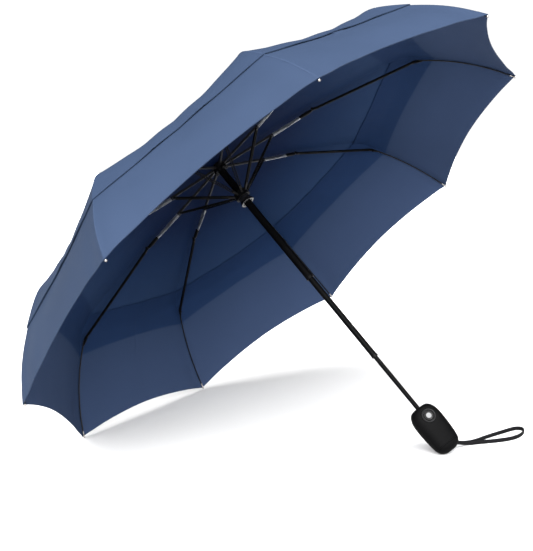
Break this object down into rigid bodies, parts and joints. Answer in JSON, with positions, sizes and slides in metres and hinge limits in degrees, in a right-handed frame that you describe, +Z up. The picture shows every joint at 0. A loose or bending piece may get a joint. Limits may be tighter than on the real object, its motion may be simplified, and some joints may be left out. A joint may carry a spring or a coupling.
{
  "type": "folding umbrella",
  "caption": "Compact folding umbrella, open: vented ribbed canopy on a telescoping shaft with a push-button handle and wrist strap.",
  "frame": {"origin": "centre of the bounding box at ground level, with the open umbrella lying on two rib tips and its handle", "axes": "+Z up, +X towards the handle, canopy towards -X, +Y across the widest span of the rib tips"},
  "size_m": [0.7135, 0.9498, 0.6609],
  "materials": {
    "canopy_fabric": "woven pongee, satin, blue",
    "canopy_edge_fabric": "woven pongee, satin, blue",
    "rib_steel": "plated spring steel",
    "rib_black": "black coated steel, satin",
    "rib_wire": "dark coated spring wire",
    "shaft_black": "black painted steel, semi-gloss",
    "nylon_black": "moulded nylon",
    "ring_wire": "bright wire",
    "grip_rubber": "soft-touch coated",
    "button_plastic": "moulded, gloss",
    "spring_steel": "spring wire",
    "strap_webbing": "woven webbing"
  },
  "bodies": {
    "canopy_frame": {"upper_tube": "shaft_black", "upper_collar": "nylon_black", "top_notch": "nylon_black", "notch_ring": "ring_wire", "ferrule_cap": "nylon_black", "vent_cover": "canopy_fabric", "lower_canopy": "canopy_edge_fabric", "closure_band": "canopy_edge_fabric", "main_spring": "spring_steel"},
    "runner": {"runner": "nylon_black", "runner_bell": "nylon_black", "runner_ring": "ring_wire"},
    "middle_shaft": {"middle_tube": "shaft_black", "middle_collar": "nylon_black"},
    "handle": {"lower_tube": "shaft_black", "handle_grip": "grip_rubber", "handle_core": "nylon_black", "handle_end_cap": "grip_rubber", "button_bezel": "grip_rubber", "button_spring": "spring_steel", "strap_anchor": "ring_wire", "wrist_strap": "strap_webbing"},
    "button": {"push_button": "button_plastic"},
    "inner_1": {"inner_rib_1": "rib_steel"},
    "strut_1": {"stretcher_1": "rib_black"},
    "middle_1": {"middle_rib_1": "rib_black"},
    "outer_1": {"outer_rib_1": "rib_wire"},
    "inner_2": {"inner_rib_2": "rib_steel"},
    "strut_2": {"stretcher_2": "rib_black"},
    "middle_2": {"middle_rib_2": "rib_black"},
    "outer_2": {"outer_rib_2": "rib_wire"},
    "inner_3": {"inner_rib_3": "rib_steel"},
    "strut_3": {"stretcher_3": "rib_black"},
    "middle_3": {"middle_rib_3": "rib_black"},
    "outer_3": {"outer_rib_3": "rib_wire"},
    "inner_4": {"inner_rib_4": "rib_steel"},
    "strut_4": {"stretcher_4": "rib_black"},
    "middle_4": {"middle_rib_4": "rib_black"},
    "outer_4": {"outer_rib_4": "rib_wire"},
    "inner_5": {"inner_rib_5": "rib_steel"},
    "strut_5": {"stretcher_5": "rib_black"},
    "middle_5": {"middle_rib_5": "rib_black"},
    "outer_5": {"outer_rib_5": "rib_wire"},
    "inner_6": {"inner_rib_6": "rib_steel"},
    "strut_6": {"stretcher_6": "rib_black"},
    "middle_6": {"middle_rib_6": "rib_black"},
    "outer_6": {"outer_rib_6": "rib_wire"},
    "inner_7": {"inner_rib_7": "rib_steel"},
    "strut_7": {"stretcher_7": "rib_black"},
    "middle_7": {"middle_rib_7": "rib_black"},
    "outer_7": {"outer_rib_7": "rib_wire"},
    "inner_8": {"inner_rib_8": "rib_steel"},
    "strut_8": {"stretcher_8": "rib_black"},
    "middle_8": {"middle_rib_8": "rib_black"},
    "outer_8": {"outer_rib_8": "rib_wire"},
    "inner_9": {"inner_rib_9": "rib_steel"},
    "strut_9": {"stretcher_9": "rib_black"},
    "middle_9": {"middle_rib_9": "rib_black"},
    "outer_9": {"outer_rib_9": "rib_wire"}
  },
  "joints": [
    {"name": "runner_slide", "type": "slide", "parent": "canopy_frame", "child": "runner", "axis": [0.673, 0, -0.7396], "range_m": [0, 0.13112], "deforming": ["vent_cover", "lower_canopy", "closure_band"]},
    {"name": "middle_tube_slide", "type": "slide", "parent": "canopy_frame", "child": "middle_shaft", "axis": [-0.673, 0, 0.7396], "range_m": [0, 0.156], "deforming": ["main_spring"]},
    {"name": "handle_slide", "type": "slide", "parent": "middle_shaft", "child": "handle", "axis": [-0.673, 0, 0.7396], "range_m": [0, 0.134]},
    {"name": "button_press", "type": "slide", "parent": "handle", "child": "button", "axis": [-0.5907, 0.6018, -0.5375], "range_m": [0, 0.0016], "stiffness_N_per_m": 700, "springref_m": -0.0012, "deforming": ["button_spring"]},
    {"name": "inner_rib_fold_1", "type": "hinge", "parent": "canopy_frame", "child": "inner_1", "pos_m": [-0.12681, -0.00342, 0.43483], "axis": [-0.253, 0.9397, -0.2302], "range_deg": [-84, 0]},
    {"name": "stretcher_fold_1", "type": "hinge", "parent": "runner", "child": "strut_1", "pos_m": [-0.08611, -0.00359, 0.38939], "axis": [-0.253, 0.9397, -0.2302], "range_deg": [0, 61.7]},
    {"name": "middle_rib_fold_1", "type": "hinge", "parent": "inner_1", "child": "middle_1", "pos_m": [-0.23954, -0.06312, 0.315], "axis": [-0.253, 0.9397, -0.2302], "range_deg": [0, 184.9]},
    {"name": "outer_rib_fold_1", "type": "hinge", "parent": "middle_1", "child": "outer_1", "pos_m": [-0.34109, -0.12803, 0.16162], "axis": [-0.253, 0.9397, -0.2302], "range_deg": [-140.71, 0]},
    {"name": "inner_rib_fold_2", "type": "hinge", "parent": "canopy_frame", "child": "inner_2", "pos_m": [-0.12356, -0.00866, 0.43779], "axis": [-0.6405, 0.5, -0.5828], "range_deg": [-84, 0]},
    {"name": "stretcher_fold_2", "type": "hinge", "parent": "runner", "child": "strut_2", "pos_m": [-0.08269, -0.00909, 0.3925], "axis": [-0.6405, 0.5, -0.5828], "range_deg": [0, 61.7]},
    {"name": "middle_rib_fold_2", "type": "hinge", "parent": "inner_2", "child": "middle_2", "pos_m": [-0.17952, -0.15983, 0.36961], "axis": [-0.6405, 0.5, -0.5828], "range_deg": [0, 184.9]},
    {"name": "outer_rib_fold_2", "type": "hinge", "parent": "middle_2", "child": "outer_2", "pos_m": [-0.21935, -0.32418, 0.27239], "axis": [-0.6405, 0.5, -0.5828], "range_deg": [-140.71, 0]},
    {"name": "inner_rib_fold_3", "type": "hinge", "parent": "canopy_frame", "child": "inner_3", "pos_m": [-0.11858, -0.00985, 0.44232], "axis": [-0.7284, -0.1736, -0.6628], "range_deg": [-84, 0]},
    {"name": "stretcher_fold_3", "type": "hinge", "parent": "runner", "child": "strut_3", "pos_m": [-0.07746, -0.01034, 0.39726], "axis": [-0.7284, -0.1736, -0.6628], "range_deg": [0, 61.7]},
    {"name": "middle_rib_fold_3", "type": "hinge", "parent": "inner_3", "child": "middle_3", "pos_m": [-0.08757, -0.18175, 0.45328], "axis": [-0.7284, -0.1736, -0.6628], "range_deg": [0, 184.9]},
    {"name": "outer_rib_fold_3", "type": "hinge", "parent": "middle_3", "child": "outer_3", "pos_m": [-0.03284, -0.36864, 0.4421], "axis": [-0.7284, -0.1736, -0.6628], "range_deg": [-140.71, 0]},
    {"name": "inner_rib_fold_4", "type": "hinge", "parent": "canopy_frame", "child": "inner_4", "pos_m": [-0.1142, -0.00643, 0.44631], "axis": [-0.4754, -0.766, -0.4326], "range_deg": [-84, 0]},
    {"name": "stretcher_fold_4", "type": "hinge", "parent": "runner", "child": "strut_4", "pos_m": [-0.07286, -0.00675, 0.40145], "axis": [-0.4754, -0.766, -0.4326], "range_deg": [0, 61.7]},
    {"name": "middle_rib_fold_4", "type": "hinge", "parent": "inner_4", "child": "middle_4", "pos_m": [-0.00671, -0.11863, 0.52686], "axis": [-0.4754, -0.766, -0.4326], "range_deg": [0, 184.9]},
    {"name": "outer_rib_fold_4", "type": "hinge", "parent": "middle_4", "child": "outer_4", "pos_m": [0.13117, -0.24061, 0.59134], "axis": [-0.4754, -0.766, -0.4326], "range_deg": [-140.71, 0]},
    {"name": "inner_rib_fold_5", "type": "hinge", "parent": "canopy_frame", "child": "inner_5", "pos_m": [-0.11246, 0, 0.44788], "axis": [0, -1, 0], "range_deg": [-84, 0]},
    {"name": "stretcher_fold_5", "type": "hinge", "parent": "runner", "child": "strut_5", "pos_m": [-0.07104, 0, 0.4031], "axis": [0, -1, 0], "range_deg": [0, 61.7]},
    {"name": "middle_rib_fold_5", "type": "hinge", "parent": "inner_5", "child": "middle_5", "pos_m": [0.02523, 0, 0.55592], "axis": [0, -1, 0], "range_deg": [0, 184.9]},
    {"name": "outer_rib_fold_5", "type": "hinge", "parent": "middle_5", "child": "outer_5", "pos_m": [0.19595, 0, 0.65028], "axis": [0, -1, 0], "range_deg": [-140.71, 0]},
    {"name": "inner_rib_fold_6", "type": "hinge", "parent": "canopy_frame", "child": "inner_6", "pos_m": [-0.1142, 0.00643, 0.44631], "axis": [0.4754, -0.766, 0.4326], "range_deg": [-84, 0]},
    {"name": "stretcher_fold_6", "type": "hinge", "parent": "runner", "child": "strut_6", "pos_m": [-0.07286, 0.00675, 0.40145], "axis": [0.4754, -0.766, 0.4326], "range_deg": [0, 61.7]},
    {"name": "middle_rib_fold_6", "type": "hinge", "parent": "inner_6", "child": "middle_6", "pos_m": [-0.00671, 0.11863, 0.52686], "axis": [0.4754, -0.766, 0.4326], "range_deg": [0, 184.9]},
    {"name": "outer_rib_fold_6", "type": "hinge", "parent": "middle_6", "child": "outer_6", "pos_m": [0.13117, 0.24061, 0.59134], "axis": [0.4754, -0.766, 0.4326], "range_deg": [-140.71, 0]},
    {"name": "inner_rib_fold_7", "type": "hinge", "parent": "canopy_frame", "child": "inner_7", "pos_m": [-0.11858, 0.00985, 0.44232], "axis": [0.7284, -0.1736, 0.6628], "range_deg": [-84, 0]},
    {"name": "stretcher_fold_7", "type": "hinge", "parent": "runner", "child": "strut_7", "pos_m": [-0.07746, 0.01034, 0.39726], "axis": [0.7284, -0.1736, 0.6628], "range_deg": [0, 61.7]},
    {"name": "middle_rib_fold_7", "type": "hinge", "parent": "inner_7", "child": "middle_7", "pos_m": [-0.08757, 0.18175, 0.45328], "axis": [0.7284, -0.1736, 0.6628], "range_deg": [0, 184.9]},
    {"name": "outer_rib_fold_7", "type": "hinge", "parent": "middle_7", "child": "outer_7", "pos_m": [-0.03284, 0.36864, 0.4421], "axis": [0.7284, -0.1736, 0.6628], "range_deg": [-140.71, 0]},
    {"name": "inner_rib_fold_8", "type": "hinge", "parent": "canopy_frame", "child": "inner_8", "pos_m": [-0.12356, 0.00866, 0.43779], "axis": [0.6405, 0.5, 0.5828], "range_deg": [-84, 0]},
    {"name": "stretcher_fold_8", "type": "hinge", "parent": "runner", "child": "strut_8", "pos_m": [-0.08269, 0.00909, 0.3925], "axis": [0.6405, 0.5, 0.5828], "range_deg": [0, 61.7]},
    {"name": "middle_rib_fold_8", "type": "hinge", "parent": "inner_8", "child": "middle_8", "pos_m": [-0.17952, 0.15983, 0.36961], "axis": [0.6405, 0.5, 0.5828], "range_deg": [0, 184.9]},
    {"name": "outer_rib_fold_8", "type": "hinge", "parent": "middle_8", "child": "outer_8", "pos_m": [-0.21935, 0.32418, 0.27239], "axis": [0.6405, 0.5, 0.5828], "range_deg": [-140.71, 0]},
    {"name": "inner_rib_fold_9", "type": "hinge", "parent": "canopy_frame", "child": "inner_9", "pos_m": [-0.12681, 0.00342, 0.43483], "axis": [0.253, 0.9397, 0.2302], "range_deg": [-84, 0]},
    {"name": "stretcher_fold_9", "type": "hinge", "parent": "runner", "child": "strut_9", "pos_m": [-0.08611, 0.00359, 0.38939], "axis": [0.253, 0.9397, 0.2302], "range_deg": [0, 61.7]},
    {"name": "middle_rib_fold_9", "type": "hinge", "parent": "inner_9", "child": "middle_9", "pos_m": [-0.23954, 0.06312, 0.315], "axis": [0.253, 0.9397, 0.2302], "range_deg": [0, 184.9]},
    {"name": "outer_rib_fold_9", "type": "hinge", "parent": "middle_9", "child": "outer_9", "pos_m": [-0.34109, 0.12803, 0.16162], "axis": [0.253, 0.9397, 0.2302], "range_deg": [-140.71, 0]}
  ],
  "couplings": [
    {"joint": "inner_rib_fold_1", "follows": "runner_slide", "rad_per_m": -11.115},
    {"joint": "stretcher_fold_1", "follows": "runner_slide", "rad_per_m": 8.1468},
    {"joint": "middle_rib_fold_1", "follows": "runner_slide", "rad_per_m": 24.545},
    {"joint": "outer_rib_fold_1", "follows": "runner_slide", "rad_per_m": -18.664},
    {"joint": "inner_rib_fold_2", "follows": "runner_slide", "rad_per_m": -11.115},
    {"joint": "stretcher_fold_2", "follows": "runner_slide", "rad_per_m": 8.1468},
    {"joint": "middle_rib_fold_2", "follows": "runner_slide", "rad_per_m": 24.545},
    {"joint": "outer_rib_fold_2", "follows": "runner_slide", "rad_per_m": -18.664},
    {"joint": "inner_rib_fold_3", "follows": "runner_slide", "rad_per_m": -11.115},
    {"joint": "stretcher_fold_3", "follows": "runner_slide", "rad_per_m": 8.1468},
    {"joint": "middle_rib_fold_3", "follows": "runner_slide", "rad_per_m": 24.545},
    {"joint": "outer_rib_fold_3", "follows": "runner_slide", "rad_per_m": -18.664},
    {"joint": "inner_rib_fold_4", "follows": "runner_slide", "rad_per_m": -11.115},
    {"joint": "stretcher_fold_4", "follows": "runner_slide", "rad_per_m": 8.1468},
    {"joint": "middle_rib_fold_4", "follows": "runner_slide", "rad_per_m": 24.545},
    {"joint": "outer_rib_fold_4", "follows": "runner_slide", "rad_per_m": -18.664},
    {"joint": "inner_rib_fold_5", "follows": "runner_slide", "rad_per_m": -11.115},
    {"joint": "stretcher_fold_5", "follows": "runner_slide", "rad_per_m": 8.1468},
    {"joint": "middle_rib_fold_5", "follows": "runner_slide", "rad_per_m": 24.545},
    {"joint": "outer_rib_fold_5", "follows": "runner_slide", "rad_per_m": -18.664},
    {"joint": "inner_rib_fold_6", "follows": "runner_slide", "rad_per_m": -11.115},
    {"joint": "stretcher_fold_6", "follows": "runner_slide", "rad_per_m": 8.1468},
    {"joint": "middle_rib_fold_6", "follows": "runner_slide", "rad_per_m": 24.545},
    {"joint": "outer_rib_fold_6", "follows": "runner_slide", "rad_per_m": -18.664},
    {"joint": "inner_rib_fold_7", "follows": "runner_slide", "rad_per_m": -11.115},
    {"joint": "stretcher_fold_7", "follows": "runner_slide", "rad_per_m": 8.1468},
    {"joint": "middle_rib_fold_7", "follows": "runner_slide", "rad_per_m": 24.545},
    {"joint": "outer_rib_fold_7", "follows": "runner_slide", "rad_per_m": -18.664},
    {"joint": "inner_rib_fold_8", "follows": "runner_slide", "rad_per_m": -11.115},
    {"joint": "stretcher_fold_8", "follows": "runner_slide", "rad_per_m": 8.1468},
    {"joint": "middle_rib_fold_8", "follows": "runner_slide", "rad_per_m": 24.545},
    {"joint": "outer_rib_fold_8", "follows": "runner_slide", "rad_per_m": -18.664},
    {"joint": "inner_rib_fold_9", "follows": "runner_slide", "rad_per_m": -11.115},
    {"joint": "stretcher_fold_9", "follows": "runner_slide", "rad_per_m": 8.1468},
    {"joint": "middle_rib_fold_9", "follows": "runner_slide", "rad_per_m": 24.545},
    {"joint": "outer_rib_fold_9", "follows": "runner_slide", "rad_per_m": -18.664}
  ]
}
